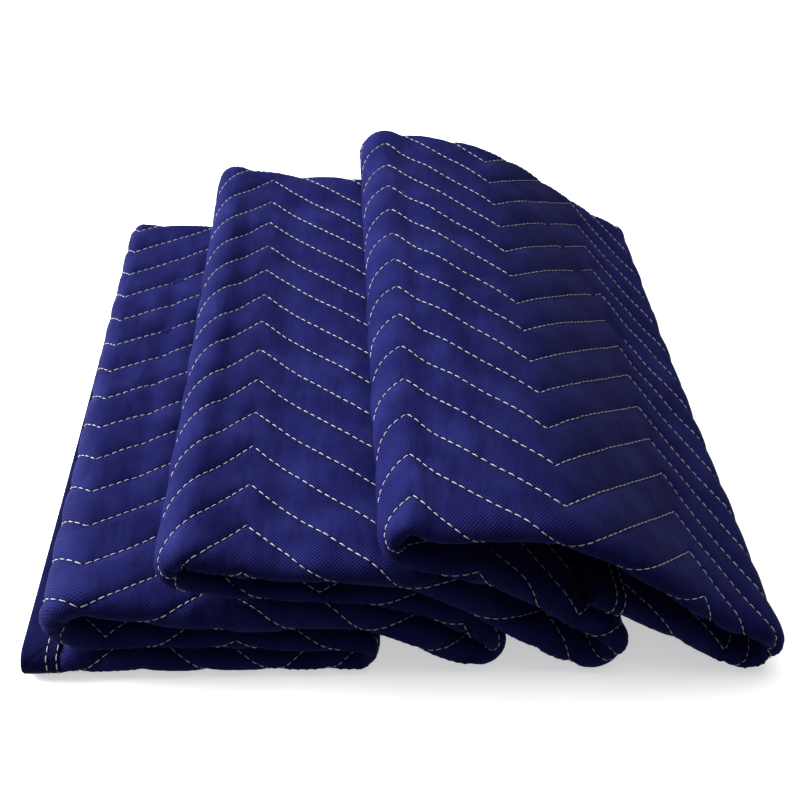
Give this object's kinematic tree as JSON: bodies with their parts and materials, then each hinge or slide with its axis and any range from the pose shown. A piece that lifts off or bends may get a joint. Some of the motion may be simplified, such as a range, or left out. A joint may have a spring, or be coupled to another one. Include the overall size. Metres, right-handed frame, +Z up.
{
  "type": "moving blanket",
  "caption": "Folded quilted moving blanket in navy cloth with pale zigzag stitching and bound ends, pleated so that it fans out in stepped lobes.",
  "frame": {"origin": "on the floor under the middle of the folded blanket's bounding box", "axes": "+X to the right along the fan of lobes, +Y from the rounded front rim to the back folds, +Z up"},
  "size_m": [0.55, 0.61, 0.163],
  "materials": {
    "quilted_cloth": "matt navy non-woven cloth with a fine waffle emboss and pale zigzag quilting stitches",
    "binding_cloth": "matt navy binding strip with two rows of pale stitches",
    "stitch_thread": "off-white polyester quilting thread in long stitches"
  },
  "bodies": {
    "root": {"quilted_sheet": "quilted_cloth", "lower_end_binding": "binding_cloth", "inner_end_binding": "binding_cloth"}
  },
  "joints": []
}
